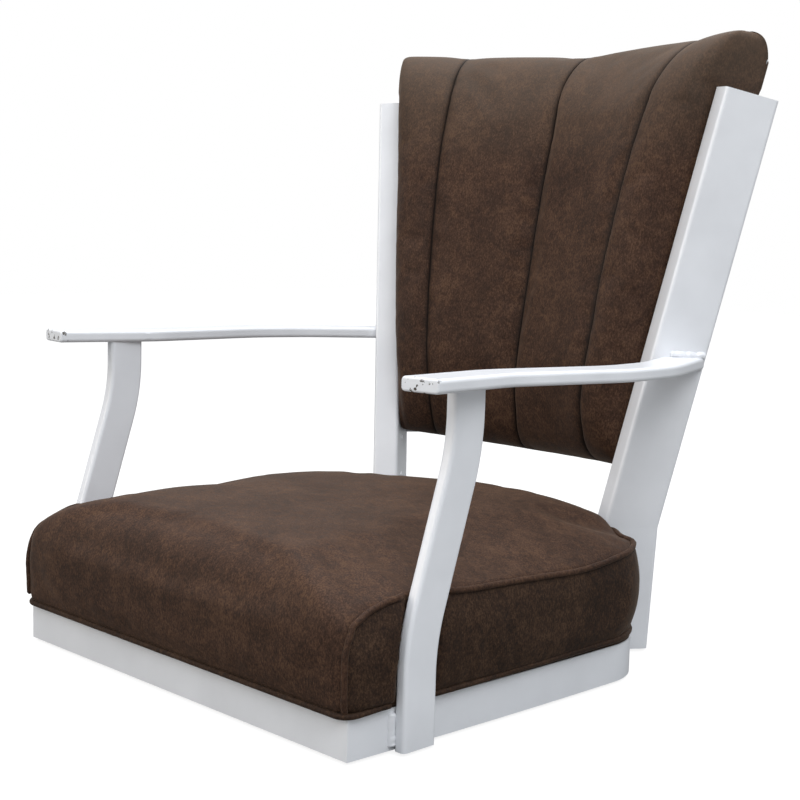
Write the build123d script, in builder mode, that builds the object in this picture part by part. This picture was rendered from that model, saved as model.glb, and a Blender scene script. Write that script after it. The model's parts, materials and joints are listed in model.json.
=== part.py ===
from build123d import *

import os
from math import asin, cos, radians, sin, sqrt, tan

# Swivel seat unit of a bar stool: a welded steel frame with arms, an upholstered
# seat and a channelled back, carried on a ball-bearing swivel plate.
# Millimetres, +Z up. The sitter faces -Y and the sitter's left is +X. The origin is
# on the swivel axis, at the underside of the base plate.

# Clearances shared by every piece
running_clearance = 0.05
soft_clearance = 0.3
cut_overrun = 4.0

# Swivel plate: two square plates, two ball races, a caged ring of balls, a centre pin
plate_side = 177.8
plate_thickness = 3.0
plate_corner_radius = 12.0
plate_hole_inset = 19.05
plate_hole_radius = 4.35
race_mean_radius = 46.0
race_width = 16.0
race_height = 6.4
ball_radius = 4.0
ball_count = 24
groove_clearance = 0.08
cage_thickness = 1.2
cage_width = 12.0
pin_radius = 8.0
pin_chamfer = 1.0
washer_radius = 16.0
washer_thickness = 1.5
washer_gap = 0.2
lock_nut_flats = 24.0
lock_nut_height = 8.0
pin_tail = 2.0

# Apron: a flat steel bar on edge, bowed at the sides and bent round the rear corners
apron_setback = 225.0
apron_front_half_width = 250.0
apron_side_bow = 9.5
apron_depth = 432.0
apron_corner_radius = 72.0
apron_height = 38.1
apron_wall = 6.35
apron_lift = 3.0
mitre_reach = 40.0

# Cross rails under the seat, bolted to the swivel's top plate
rail_width = 25.4
rail_wall = 2.0
rail_end_gap = 0.6
bolt_radius = 4.0
bolt_head_flats = 13.0
bolt_head_height = 5.3
bolt_length = 14.0
nut_height = 6.5
seat_screw_radius = 2.4
seat_screw_head_radius = 5.0
seat_screw_head_height = 2.6
seat_screw_offset = 165.0
seat_screw_bite = 9.0

# Flat tube of the arms and their posts
bar_width = 40.0
bar_thickness = 13.0
bar_edge_radius = 4.0
bar_wall = 1.8

# Arm posts, seen from the side: up the apron, back at a slant, then up to the arm
post_centre_setback = 71.0
post_lower_bend_share = 0.294
post_upper_bend_share = 0.811
post_kick_back = 53.0
post_bend_radius = 200.0

# Arms, seen from above. Each point is a distance out from the apron's widest part and a
# share of the way back from the arm's front end to its rear end.
arm_front_setback = 44.5
arm_rear_overhang = 102.5
arm_front_height = 323.0
arm_front_overhang = 21.0
arm_waist_overhang = 5.0
arm_waist_share = 0.2347
arm_belly_overhang = 24.5
arm_belly_share = 0.5571
arm_tail_overhang = 12.5
arm_tail_share = 0.7143
arm_end_inset = 45.5
arm_waist_radius = 120.0
arm_belly_radius = 200.0
arm_slope = 1.07
arm_cap_length = 6.0

# Uprights: rectangular tube, its wide faces turned in towards the sitter's back,
# leaning back and out, with a bend just above the seat
upright_width = 31.0
upright_depth = 62.5
upright_corner_radius = 4.0
upright_wall = 2.0
upright_inset = 97.3
upright_standoff = 8.8
upright_turn = 33.65
lean_heading = 47.5
lower_lean = 2.64
upper_lean = 12.87
upright_bend_height = 134.4
upright_top_height = 604.8
upright_cap_thickness = 2.5

# Upholstered seat
board_thickness = 12.0
board_inset = 2.0
seat_side_height = 84.0
seat_crown_rise = 43.0
seat_overhang = 12.5
seat_drawn_in = 6.5
seat_front_corner_radius = 22.0
crown_side_share = 0.672
crown_front_share = 0.347
crown_rear_share = 0.296
crown_corner_radius = 58.0
welt_height = 5.4
welt_overhang = 6.0
welt_round = 2.4

# Upholstered back: channelled pad, bent plywood board, rear panel
pad_bottom_height = 196.0
pad_top_rise = 59.2
pad_middle_proud = 34.0
pad_seam_proud = 41.0
pad_edge_proud = 20.0
pad_rear_depth = 50.0
pad_tip_depth = 16.0
pad_tip_thickness = 14.0
pad_bottom_roll = 46.0
pad_top_roll = 76.0
channel_bulge = 13.0
channel_tip_bulge = 7.5
seam_angle = 24.3
back_board_thickness = 9.0
back_board_side_inset = 5.0
back_board_end_inset = 22.0
rear_panel_thickness = 6.0
tab_width = 24.0
tab_height = 46.0
tab_thickness = 4.0
tab_drop = 6.0
tab_hole_inset = 13.0
tab_hole_rise = 14.0
back_screw_radius = 2.2
back_screw_head_radius = 4.8
back_screw_head_height = 2.4
back_screw_tip_cover = 1.5

# Steps in each rounded stretch of the upholstery
side_steps = 6
crown_steps = 9
roll_steps = 5

front_y = -apron_setback
back_y = front_y + apron_depth
side_half_width = apron_front_half_width + apron_side_bow
apron_top = apron_lift + apron_height

os.makedirs("parts", exist_ok=True)


def save(builder, label):
    builder.part.label = label
    export_step(builder.part, f"parts/{label}.step")


def mirrored(builder, label):
    """The same piece on the sitter's right."""
    with BuildPart() as other:
        mirror(builder.part, about=Plane.YZ)
    save(other, label)


# Swivel

plate_hole_distance = plate_side - 2 * plate_hole_inset
lower_race_top = plate_thickness + race_height
ball_level = lower_race_top + cage_thickness
upper_race_bottom = ball_level + cage_thickness
top_plate_bottom = upper_race_bottom + race_height
top_plate_top = top_plate_bottom + plate_thickness
groove_radius = ball_radius + groove_clearance

with BuildPart() as base_plate:
    with BuildSketch():
        RectangleRounded(plate_side, plate_side, plate_corner_radius)
        Circle(pin_radius, mode=Mode.SUBTRACT)
        with GridLocations(plate_hole_distance, plate_hole_distance, 2, 2):
            Circle(plate_hole_radius, mode=Mode.SUBTRACT)
    extrude(amount=plate_thickness)
save(base_plate, "swivel_base_plate")

with BuildPart() as top_plate:
    with BuildSketch(Plane.XY.offset(top_plate_bottom)):
        RectangleRounded(plate_side, plate_side, plate_corner_radius)
        Circle(pin_radius + running_clearance, mode=Mode.SUBTRACT)
        with GridLocations(plate_hole_distance, plate_hole_distance, 2, 2):
            Circle(bolt_radius, mode=Mode.SUBTRACT)
    extrude(amount=plate_thickness)
save(top_plate, "swivel_top_plate")

race_bottoms = {"swivel_lower_race": plate_thickness, "swivel_upper_race": upper_race_bottom}
for label, bottom in race_bottoms.items():
    with BuildPart() as race:
        with BuildSketch(Plane.XY.offset(bottom)):
            Circle(race_mean_radius + race_width / 2)
            Circle(race_mean_radius - race_width / 2, mode=Mode.SUBTRACT)
        extrude(amount=race_height)
        with BuildSketch(Plane.XZ):
            with Locations((race_mean_radius, ball_level)):
                Circle(groove_radius)
        revolve(axis=Axis.Z, mode=Mode.SUBTRACT)
    save(race, label)

with BuildPart() as balls:
    with Locations(Plane.XY.offset(ball_level)):
        with PolarLocations(race_mean_radius, ball_count):
            Sphere(ball_radius)
save(balls, "swivel_balls")

with BuildPart() as cage:
    with BuildSketch(Plane.XY.offset(ball_level - cage_thickness / 2)):
        Circle(race_mean_radius + cage_width / 2)
        Circle(race_mean_radius - cage_width / 2, mode=Mode.SUBTRACT)
        with PolarLocations(race_mean_radius, ball_count):
            Circle(ball_radius + running_clearance, mode=Mode.SUBTRACT)
    extrude(amount=cage_thickness)
save(cage, "swivel_ball_cage")

washer_bottom = top_plate_top + washer_gap
nut_bottom = washer_bottom + washer_thickness
pin_top = nut_bottom + lock_nut_height + pin_tail

with BuildPart() as pin:
    with BuildSketch():
        Circle(pin_radius)
    extrude(amount=pin_top)
    chamfer(pin.edges().sort_by(Axis.Z)[-1], pin_chamfer)
save(pin, "swivel_pin")

with BuildPart() as washer:
    with BuildSketch(Plane.XY.offset(washer_bottom)):
        Circle(washer_radius)
        Circle(pin_radius, mode=Mode.SUBTRACT)
    extrude(amount=washer_thickness)
save(washer, "swivel_washer")

with BuildPart() as lock_nut:
    with BuildSketch(Plane.XY.offset(nut_bottom)):
        RegularPolygon(lock_nut_flats / 2, side_count=6, major_radius=False)
        Circle(pin_radius, mode=Mode.SUBTRACT)
    extrude(amount=lock_nut_height)
save(lock_nut, "swivel_lock_nut")

# Cross rails, their bolts and captive nuts, and the seat screws

rail_height = apron_top - top_plate_top
rail_offset = plate_hole_distance / 2


def side_x(y):
    """The apron's outer face at the side, at a distance y behind the swivel axis."""
    corner_y = back_y - apron_corner_radius
    run = corner_y - front_y
    bow_radius = (run**2 + apron_side_bow**2) / (2 * apron_side_bow)
    return side_half_width - bow_radius + sqrt(bow_radius**2 - (corner_y - y) ** 2)


for label, rail_side in (("front_rail", -1), ("rear_rail", 1)):
    rail_y = rail_side * rail_offset
    rail_narrowest_y = rail_y - rail_width / 2
    rail_half_length = side_x(rail_narrowest_y) - apron_wall - rail_end_gap
    rail_plane = Plane(
        origin=(-rail_half_length, rail_y, top_plate_top + rail_height / 2),
        x_dir=(0, 1, 0),
        z_dir=(1, 0, 0),
    )
    with BuildPart() as rail:
        with BuildSketch(rail_plane):
            Rectangle(rail_width, rail_height)
            Rectangle(rail_width - 2 * rail_wall, rail_height - 2 * rail_wall, mode=Mode.SUBTRACT)
        extrude(amount=2 * rail_half_length)
        with BuildSketch(Plane.XY.offset(top_plate_top)):
            with Locations((-rail_offset, rail_y), (rail_offset, rail_y)):
                Circle(bolt_radius)
        extrude(amount=rail_height / 2, mode=Mode.SUBTRACT)
        with BuildSketch(Plane.XY.offset(top_plate_top)):
            with Locations((-seat_screw_offset, rail_y), (seat_screw_offset, rail_y)):
                Circle(seat_screw_radius)
        extrude(amount=rail_height + cut_overrun, mode=Mode.SUBTRACT)
    save(rail, label)

with BuildPart() as bolts:
    with BuildSketch(Plane.XY.offset(top_plate_bottom - bolt_head_height)):
        with GridLocations(plate_hole_distance, plate_hole_distance, 2, 2):
            RegularPolygon(bolt_head_flats / 2, side_count=6, major_radius=False)
    extrude(amount=bolt_head_height)
    with BuildSketch(Plane.XY.offset(top_plate_bottom)):
        with GridLocations(plate_hole_distance, plate_hole_distance, 2, 2):
            Circle(bolt_radius)
    extrude(amount=bolt_length)
save(bolts, "swivel_bolts")

with BuildPart() as nuts:
    with BuildSketch(Plane.XY.offset(top_plate_top + rail_wall)):
        with GridLocations(plate_hole_distance, plate_hole_distance, 2, 2):
            RegularPolygon(bolt_head_flats / 2, side_count=6, major_radius=False)
            Circle(bolt_radius, mode=Mode.SUBTRACT)
    extrude(amount=nut_height)
save(nuts, "swivel_nuts")

with BuildPart() as seat_screws:
    with BuildSketch(Plane.XY.offset(top_plate_top - seat_screw_head_height)):
        with GridLocations(2 * seat_screw_offset, plate_hole_distance, 2, 2):
            Circle(seat_screw_head_radius)
    extrude(amount=seat_screw_head_height)
    with BuildSketch(Plane.XY.offset(top_plate_top)):
        with GridLocations(2 * seat_screw_offset, plate_hole_distance, 2, 2):
            Circle(seat_screw_radius)
    extrude(amount=rail_height + seat_screw_bite)
save(seat_screws, "seat_screws")


# Apron


def seat_outline(growth, front_growth, rear_growth, corner_radius):
    """The seat's outline from above: straight front, bowed sides, round rear corners."""
    front_x = apron_front_half_width + growth
    widest_x = side_half_width + growth
    first_y = front_y - front_growth
    last_y = back_y + rear_growth
    corner_x = widest_x - corner_radius
    corner_y = last_y - corner_radius
    mid_x = corner_x + corner_radius * sin(radians(45))
    mid_y = corner_y + corner_radius * cos(radians(45))
    Line((-front_x, first_y), (front_x, first_y))
    TangentArc((widest_x, corner_y), (front_x, first_y), tangent=(0, -1))
    ThreePointArc((widest_x, corner_y), (mid_x, mid_y), (corner_x, last_y))
    Line((corner_x, last_y), (-corner_x, last_y))
    ThreePointArc((-corner_x, last_y), (-mid_x, mid_y), (-widest_x, corner_y))
    TangentArc((-widest_x, corner_y), (-front_x, first_y), tangent=(0, -1))


def seat_face(growth, mode=Mode.ADD):
    """The apron's outline, grown or shrunk alike all round."""
    with BuildLine() as line:
        seat_outline(growth, growth, growth, apron_corner_radius + growth)
    make_face(line.edges(), mode=mode)


def apron_ring():
    seat_face(0)
    seat_face(-apron_wall, Mode.SUBTRACT)


def mitre_region(mode):
    front_x = apron_front_half_width
    with BuildLine() as line:
        Polyline(
            (-front_x, front_y),
            (front_x, front_y),
            (front_x - mitre_reach, front_y + mitre_reach),
            (-front_x + mitre_reach, front_y + mitre_reach),
            close=True,
        )
    make_face(line.edges(), mode=mode)


with BuildPart() as apron_front:
    with BuildSketch(Plane.XY.offset(apron_lift)):
        apron_ring()
        mitre_region(Mode.INTERSECT)
    extrude(amount=apron_height)
save(apron_front, "apron_front")

with BuildPart() as apron_band:
    with BuildSketch(Plane.XY.offset(apron_lift)):
        apron_ring()
        mitre_region(Mode.SUBTRACT)
    extrude(amount=apron_height)
save(apron_band, "apron_band")

# Uprights

turn = radians(upright_turn)
heading = radians(lean_heading)
out_way = Vector(cos(turn), -sin(turn), 0)
depth_way = Vector(sin(turn), cos(turn), 0)
lean_way = Vector(sin(heading), cos(heading), 0)
lower_axis = (Vector(0, 0, 1) + lean_way * tan(radians(lower_lean))).normalized()
upper_axis = (Vector(0, 0, 1) + lean_way * tan(radians(upper_lean))).normalized()
inboard_way = upper_axis.cross(depth_way).normalized()


def upright_front(height):
    """Middle of the left upright's front face, at a height above the apron's underside."""
    lower = min(height, upright_bend_height) * tan(radians(lower_lean))
    upper = max(height - upright_bend_height, 0) * tan(radians(upper_lean))
    base = Vector(side_half_width - upright_inset, back_y + upright_standoff, apron_lift + height)
    return base + lean_way * (lower + upper)


def upright_plane(height):
    return Plane(origin=upright_front(height), x_dir=out_way, z_dir=(0, 0, 1))


def upright_section(inset, mode=Mode.ADD):
    with Locations((0, upright_depth / 2)):
        RectangleRounded(
            upright_width - 2 * inset,
            upright_depth - 2 * inset,
            upright_corner_radius - inset,
            mode=mode,
        )


lower_run = upright_bend_height / lower_axis.Z
upper_run = (upright_top_height - upright_bend_height) / upper_axis.Z + upright_depth
top_plane = Plane(origin=upright_front(upright_top_height), x_dir=out_way, z_dir=upper_axis)

with BuildPart() as upright:
    with BuildSketch(upright_plane(0)):
        upright_section(0)
        upright_section(upright_wall, Mode.SUBTRACT)
    extrude(amount=lower_run, dir=lower_axis)
    with BuildSketch(upright_plane(upright_bend_height)):
        upright_section(0)
        upright_section(upright_wall, Mode.SUBTRACT)
    extrude(amount=upper_run, dir=upper_axis)
    split(bisect_by=top_plane, keep=Keep.BOTTOM)
save(upright, "upright_left")
mirrored(upright, "upright_right")

with BuildPart() as upright_cap:
    with BuildSketch(upright_plane(upright_bend_height)):
        upright_section(upright_wall)
    extrude(amount=upper_run, dir=upper_axis)
    split(bisect_by=top_plane, keep=Keep.BOTTOM)
    split(bisect_by=top_plane.offset(-upright_cap_thickness), keep=Keep.TOP)
save(upright_cap, "upright_cap_left")
mirrored(upright_cap, "upright_cap_right")

# Wedges between the apron's straight back and the turned uprights, welded to both

half_flat = upright_width / 2 - upright_corner_radius
wedge_outer = upright_front(0) + out_way * half_flat
wedge_inner = upright_front(0) - out_way * half_flat
behind_face = depth_way * upright_corner_radius

with BuildPart() as upright_foot:
    with BuildSketch(upright_plane(0)):
        upright_section(0)
    extrude(amount=lower_run, dir=lower_axis)

with BuildPart() as wedge:
    with BuildSketch(Plane.XY.offset(apron_lift)):
        with BuildLine():
            Polyline(
                (wedge_outer.X, back_y),
                (wedge_outer.X + behind_face.X, wedge_outer.Y + behind_face.Y),
                (wedge_inner.X + behind_face.X, wedge_inner.Y + behind_face.Y),
                (wedge_inner.X, back_y),
                close=True,
            )
        make_face()
    extrude(amount=apron_height)
    add(upright_foot.part, mode=Mode.SUBTRACT)
save(wedge, "upright_wedge_left")
mirrored(wedge, "upright_wedge_right")

# Arms and their posts

arm_normal = Vector(0, sin(radians(arm_slope)), cos(radians(arm_slope)))
arm_plane = Plane(
    origin=(0, front_y + arm_front_setback, apron_lift + arm_front_height),
    x_dir=(1, 0, 0),
    z_dir=arm_normal,
)
arm_length = apron_depth + arm_rear_overhang - arm_front_setback
arm_points = (
    (side_half_width + arm_front_overhang, 0),
    (side_half_width + arm_waist_overhang, arm_length * arm_waist_share),
    (side_half_width + arm_belly_overhang, arm_length * arm_belly_share),
    (side_half_width + arm_tail_overhang, arm_length * arm_tail_share),
    (side_half_width - arm_end_inset, arm_length),
)
outboard_face = Plane(
    origin=upright_front(arm_front_height) + out_way * (upright_width / 2),
    x_dir=depth_way,
    z_dir=-inboard_way,
)


def bar_section(inset, mode=Mode.ADD):
    RectangleRounded(
        bar_width - 2 * inset, bar_thickness - 2 * inset, bar_edge_radius - inset, mode=mode
    )


with BuildLine(arm_plane) as arm_line:
    FilletPolyline(
        *arm_points, radius=[arm_waist_radius, arm_belly_radius, arm_belly_radius]
    )
arm_way = arm_line.wire() % 0
arm_front = Plane(origin=arm_line.wire() @ 0, x_dir=arm_way.cross(arm_normal), z_dir=arm_way)

with BuildPart() as arm:
    with BuildSketch(arm_front):
        bar_section(0)
        bar_section(bar_wall, Mode.SUBTRACT)
    sweep(path=arm_line.wire())
    split(bisect_by=arm_front.offset(arm_cap_length), keep=Keep.TOP)
    split(bisect_by=outboard_face, keep=Keep.TOP)
save(arm, "arm_left")
mirrored(arm, "arm_right")

with BuildPart() as arm_cap:
    with BuildSketch(arm_front):
        bar_section(0)
    extrude(amount=arm_cap_length)
    fillet(arm_cap.faces().sort_by(Axis.Y)[0].edges(), bar_edge_radius - bar_wall)
save(arm_cap, "arm_cap_left")
mirrored(arm_cap, "arm_cap_right")

post_y = front_y + post_centre_setback
post_x = side_x(post_y + bar_width / 2) + bar_thickness / 2
post_lower_bend = apron_lift + arm_front_height * post_lower_bend_share
post_upper_bend = apron_lift + arm_front_height * post_upper_bend_share
post_top = apron_lift + arm_front_height

with BuildLine(Plane.YZ.offset(post_x)) as post_line:
    FilletPolyline(
        (post_y, apron_lift),
        (post_y, post_lower_bend),
        (post_y + post_kick_back, post_upper_bend),
        (post_y + post_kick_back, post_top),
        radius=post_bend_radius,
    )

with BuildPart() as post:
    with BuildSketch(Plane(origin=(post_x, post_y, apron_lift), x_dir=(0, 1, 0), z_dir=(0, 0, 1))):
        bar_section(0)
        bar_section(bar_wall, Mode.SUBTRACT)
    sweep(path=post_line.wire())
    split(bisect_by=arm_plane.offset(-bar_thickness / 2), keep=Keep.BOTTOM)
save(post, "arm_post_left")
mirrored(post, "arm_post_right")

# What the upholstery is tucked round: the posts and the uprights, grown by a clearance

with BuildPart() as tuck_space:
    with BuildSketch(Plane(origin=(post_x, post_y, apron_lift), x_dir=(0, 1, 0), z_dir=(0, 0, 1))):
        bar_section(-soft_clearance)
    sweep(path=post_line.wire())
    for height, axis, run in (
        (0, lower_axis, lower_run),
        (upright_bend_height, upper_axis, upright_depth),
    ):
        with BuildSketch(upright_plane(height)):
            upright_section(-soft_clearance)
        extrude(amount=run, dir=axis)
    mirror(about=Plane.YZ)

# Seat board, cushion and lower welt

with BuildPart() as seat_board:
    with BuildSketch(Plane.XY.offset(apron_top)):
        seat_face(-board_inset)
        with GridLocations(2 * seat_screw_offset, plate_hole_distance, 2, 2):
            Circle(seat_screw_radius, mode=Mode.SUBTRACT)
    extrude(amount=board_thickness)
save(seat_board, "seat_board")


def between(first, last, share):
    return first + (last - first) * share


def cushion_level(height, inset_share, draw_share):
    """One level of the cushion: how far it has rolled in, and how far it is drawn in."""
    growth = seat_overhang - seat_drawn_in * draw_share
    rear_radius = between(apron_corner_radius + growth, crown_corner_radius, inset_share)
    front_radius = between(seat_front_corner_radius, crown_corner_radius, inset_share)
    with BuildSketch(Plane.XY.offset(apron_top + height)) as level:
        with BuildLine():
            seat_outline(
                growth - apron_front_half_width * crown_side_share * inset_share,
                growth - apron_depth * crown_front_share * inset_share,
                growth - apron_depth * crown_rear_share * inset_share,
                rear_radius,
            )
        make_face()
        fillet(level.vertices().group_by(Axis.Y)[0], front_radius)
    return level.sketch.face()


cushion_levels = []
for step in range(side_steps + 1):
    share = step / side_steps
    height = between(welt_height, seat_side_height, share)
    cushion_levels.append(cushion_level(height, 0, (2 * share - 1) ** 2))
for step in range(1, crown_steps + 1):
    angle = radians(90) * step / crown_steps
    height = seat_side_height + seat_crown_rise * sin(angle)
    cushion_levels.append(cushion_level(height, 1 - cos(angle), 1))

with BuildPart() as seat_cushion:
    loft(cushion_levels, ruled=True)
    with BuildSketch(Plane.XY.offset(apron_top)):
        seat_face(-board_inset)
    extrude(amount=board_thickness, mode=Mode.SUBTRACT)
    add(tuck_space.part, mode=Mode.SUBTRACT)
save(seat_cushion, "seat_cushion")

with BuildPart() as welt:
    with BuildSketch(Plane.XY.offset(apron_top)):
        seat_face(welt_overhang)
        seat_face(-board_inset, Mode.SUBTRACT)
    extrude(amount=welt_height)
    fillet(welt.faces().sort_by(Axis.Z)[-1].outer_wire().edges(), welt_round)
    fillet(welt.faces().sort_by(Axis.Z)[0].outer_wire().edges(), welt_round)
    add(tuck_space.part, mode=Mode.SUBTRACT)
save(welt, "seat_welt")

# Back pad, its board, rear panel, tabs and screws


def back_arc(height):
    """Centre, from above, and radius of the arc that joins the uprights' front edges."""
    edge = upright_front(height) - out_way * (upright_width / 2)
    radius = edge.X / sin(turn)
    return edge.Y - radius * cos(turn), radius


def on_arc(centre_y, angle, radius):
    return (radius * sin(angle), centre_y + radius * cos(angle))


def side_angle(radius, gap):
    """The angle at which a circle meets a line set a gap inside an upright's inner face."""
    return turn - asin(gap / radius)


def pad_level(height, roll_share):
    """One level of the pad: four channels in front, an arc behind, rolled in at its ends."""
    centre_y, radius = back_arc(height)
    seam = radians(seam_angle)
    near_tip = radius + pad_tip_depth
    middle_radius = between(near_tip, radius - pad_middle_proud, roll_share)
    seam_radius = between(near_tip, radius - pad_seam_proud, roll_share)
    edge_radius = between(near_tip, radius - pad_edge_proud, roll_share)
    rear_radius = between(near_tip + pad_tip_thickness, radius + pad_rear_depth, roll_share)
    bulge = between(channel_tip_bulge, channel_bulge, roll_share)
    edge = side_angle(edge_radius, soft_clearance)
    rear = side_angle(rear_radius, soft_clearance)
    stops = (
        (-edge, edge_radius),
        (-seam, seam_radius),
        (0, middle_radius),
        (seam, seam_radius),
        (edge, edge_radius),
    )
    with BuildSketch(Plane.XY.offset(apron_lift + height)) as level:
        with BuildLine():
            for (angle, near), (next_angle, next_near) in zip(stops, stops[1:]):
                ThreePointArc(
                    on_arc(centre_y, angle, near),
                    on_arc(centre_y, (angle + next_angle) / 2, (near + next_near) / 2 - bulge),
                    on_arc(centre_y, next_angle, next_near),
                )
            Line(on_arc(centre_y, edge, edge_radius), on_arc(centre_y, rear, rear_radius))
            ThreePointArc(
                on_arc(centre_y, rear, rear_radius),
                on_arc(centre_y, 0, rear_radius),
                on_arc(centre_y, -rear, rear_radius),
            )
            Line(on_arc(centre_y, -rear, rear_radius), on_arc(centre_y, -edge, edge_radius))
        make_face()
    return level.sketch.face()


def slab_section(near_depth, far_depth, height):
    """A bent slab's section between two depths behind the uprights' front edges."""
    centre_y, radius = back_arc(height)
    near = radius + near_depth
    far = radius + far_depth
    near_side = side_angle(near, back_board_side_inset)
    far_side = side_angle(far, back_board_side_inset)
    with BuildSketch(Plane.XY.offset(apron_lift + height)) as section:
        with BuildLine():
            ThreePointArc(
                on_arc(centre_y, -near_side, near),
                on_arc(centre_y, 0, near),
                on_arc(centre_y, near_side, near),
            )
            Line(on_arc(centre_y, near_side, near), on_arc(centre_y, far_side, far))
            ThreePointArc(
                on_arc(centre_y, far_side, far),
                on_arc(centre_y, 0, far),
                on_arc(centre_y, -far_side, far),
            )
            Line(on_arc(centre_y, -far_side, far), on_arc(centre_y, -near_side, near))
        make_face()
    return section.sketch.face()


def slab(near_depth, far_depth, mode=Mode.ADD):
    """A slab bent round the back, from the board's foot to its head."""
    ends = [slab_section(near_depth, far_depth, height) for height in (board_foot, board_head)]
    loft(ends, ruled=True, mode=mode)


board_far = pad_rear_depth - rear_panel_thickness / 2
board_near = board_far - back_board_thickness
panel_far = board_far + rear_panel_thickness
board_foot = pad_bottom_height + back_board_end_inset
pad_top_height = upright_top_height + pad_top_rise
board_head = pad_top_height - back_board_end_inset

# Lower and upper tabs follow the uprights' lean, so they sit lower than the point of
# the front edge that is square to them
depth_lean = upper_axis.dot(depth_way)
square_way = inboard_way.cross(upper_axis)
tab_front = (panel_far + soft_clearance) * cos(asin(depth_lean))
tab_fall = tab_front * depth_lean
tab_heights = (board_foot - tab_drop + tab_fall, upright_top_height - tab_height)


def tab_plane(height, depth):
    edge = upright_front(height) - out_way * (upright_width / 2)
    return Plane(origin=edge + square_way * depth, x_dir=inboard_way, z_dir=square_way)


screw_rear = tab_front + tab_thickness + back_screw_head_height
screw_tip = (board_near + back_screw_tip_cover) * cos(asin(depth_lean))


def screw_disc(height, depth, radius):
    """A screw's round section at a tab's hole."""
    with BuildSketch(tab_plane(height, depth)) as disc:
        with Locations((tab_hole_inset, tab_hole_rise)):
            Circle(radius)
    return disc.sketch.face()


with BuildPart() as shanks:
    for height in tab_heights:
        extrude(screw_disc(height, screw_tip, back_screw_radius), amount=screw_rear - screw_tip)
    mirror(about=Plane.YZ)

roll_angles = [radians(90) * step / roll_steps for step in range(roll_steps + 1)]
pad_levels = [
    pad_level(pad_bottom_height + pad_bottom_roll * (1 - cos(angle)), sin(angle))
    for angle in roll_angles
]
pad_levels += [
    pad_level(pad_top_height - pad_top_roll * (1 - cos(angle)), sin(angle))
    for angle in reversed(roll_angles)
]

with BuildPart() as back_pad:
    loft(pad_levels, ruled=True)
    slab(board_near, panel_far, Mode.SUBTRACT)
save(back_pad, "back_pad")

with BuildPart() as back_board:
    slab(board_near, board_far)
    add(shanks.part, mode=Mode.SUBTRACT)
save(back_board, "back_board")

with BuildPart() as rear_panel:
    slab(board_far, panel_far)
    add(shanks.part, mode=Mode.SUBTRACT)
save(rear_panel, "back_rear_panel")

with BuildPart() as tabs:
    for height in tab_heights:
        with BuildSketch(tab_plane(height, tab_front)):
            with Locations((tab_width / 2, 0)):
                Rectangle(tab_width, tab_height)
    extrude(amount=tab_thickness)
    mirror(about=Plane.YZ)
    add(shanks.part, mode=Mode.SUBTRACT)
save(tabs, "back_tabs")

with BuildPart() as back_screws:
    add(shanks.part)
    for height in tab_heights:
        head = screw_disc(height, tab_front + tab_thickness, back_screw_head_radius)
        extrude(head, amount=back_screw_head_height)
        extrude(head.mirror(Plane.YZ), amount=-back_screw_head_height)
save(back_screws, "back_screws")
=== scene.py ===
import json
import math

import bmesh
import bpy
import numpy as np
from mathutils import Matrix, Vector, noise
from mathutils.bvhtree import BVHTree


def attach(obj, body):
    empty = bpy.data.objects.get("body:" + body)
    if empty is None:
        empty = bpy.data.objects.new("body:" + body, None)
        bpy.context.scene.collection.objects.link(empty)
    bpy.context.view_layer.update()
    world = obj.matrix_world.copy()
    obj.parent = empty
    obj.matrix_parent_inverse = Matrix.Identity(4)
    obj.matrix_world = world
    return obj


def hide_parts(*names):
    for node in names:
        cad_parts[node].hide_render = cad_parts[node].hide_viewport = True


# Swivel bar stool seat: upholstery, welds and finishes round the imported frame.
# Lengths below are millimetres in the row frame and become metres at the mesh.

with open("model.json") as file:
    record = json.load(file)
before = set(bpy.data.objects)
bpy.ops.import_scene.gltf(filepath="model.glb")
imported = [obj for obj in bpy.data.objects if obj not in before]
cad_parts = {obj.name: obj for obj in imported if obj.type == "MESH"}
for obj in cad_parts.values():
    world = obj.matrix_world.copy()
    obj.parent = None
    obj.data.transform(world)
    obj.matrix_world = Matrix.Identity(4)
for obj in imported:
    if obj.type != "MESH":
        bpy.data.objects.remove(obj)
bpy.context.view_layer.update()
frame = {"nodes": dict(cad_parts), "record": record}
MM = 0.001
SEAT = "seat_unit"


# ---------------------------------------------------------------- materials

def linear(code):
    """An sRGB hex colour as linear RGBA."""
    parts = [int(code[i:i + 2], 16) / 255 for i in (1, 3, 5)]
    return [c / 12.92 if c <= 0.04045 else ((c + 0.055) / 1.055) ** 2.4 for c in parts] + [1.0]


def add(tree, kind, links=None, stops=(), **settings):
    """A shader node with its settings. links gives a socket either a value or another socket;
    stops are a colour ramp's places and hex colours."""
    node = tree.nodes.new("ShaderNode" + kind)
    for name, value in settings.items():
        setattr(node, name, value)
    for socket, value in (links or {}).items():
        if isinstance(value, bpy.types.NodeSocket):
            tree.links.new(value, node.inputs[socket])
        else:
            node.inputs[socket].default_value = value
    elements = node.color_ramp.elements if stops else []
    while len(elements) < len(stops):
        elements.new(0.5)
    for element, (place, code) in zip(elements, stops):
        element.position = place
        element.color = linear(code)
    return node


def finish_of(name):
    """An empty node material, its tree, and the coordinates that its patterns use."""
    material = bpy.data.materials.new(name)
    material.use_nodes = True
    tree = material.node_tree
    tree.nodes.clear()
    return material, tree, add(tree, "TexCoord").outputs["Object"]


def per_mm(size):
    """Noise scale that gives a pattern of a size in millimetres."""
    return 1 / (size * MM)


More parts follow.
